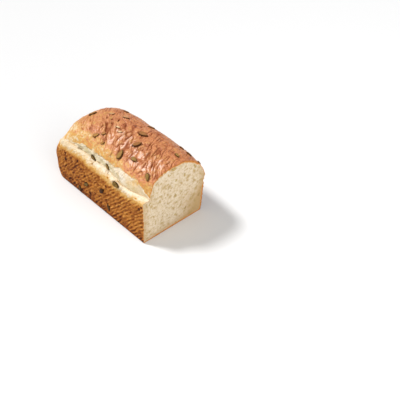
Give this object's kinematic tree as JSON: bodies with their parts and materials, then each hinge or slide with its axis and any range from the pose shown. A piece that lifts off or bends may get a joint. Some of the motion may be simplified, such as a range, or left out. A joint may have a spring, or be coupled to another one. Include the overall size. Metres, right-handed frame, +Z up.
{
  "type": "pumpkin seed bread loaf",
  "caption": "Cut tin loaf of pumpkin seed bread: a flat cut face with an open crumb, a burst along one side, a wrinkled crust over ribbed tin walls, and seeds.",
  "frame": {"origin": "middle of the base of the bounding box, on the surface that the loaf stands on", "axes": "+X along the loaf towards its cut face, +Y towards the side without the burst, +Z up"},
  "size_m": [0.2076, 0.1204, 0.1123],
  "materials": {
    "bread_crust": "satin"
  },
  "bodies": {
    "root": {"loaf": "bread_crust"}
  },
  "joints": []
}
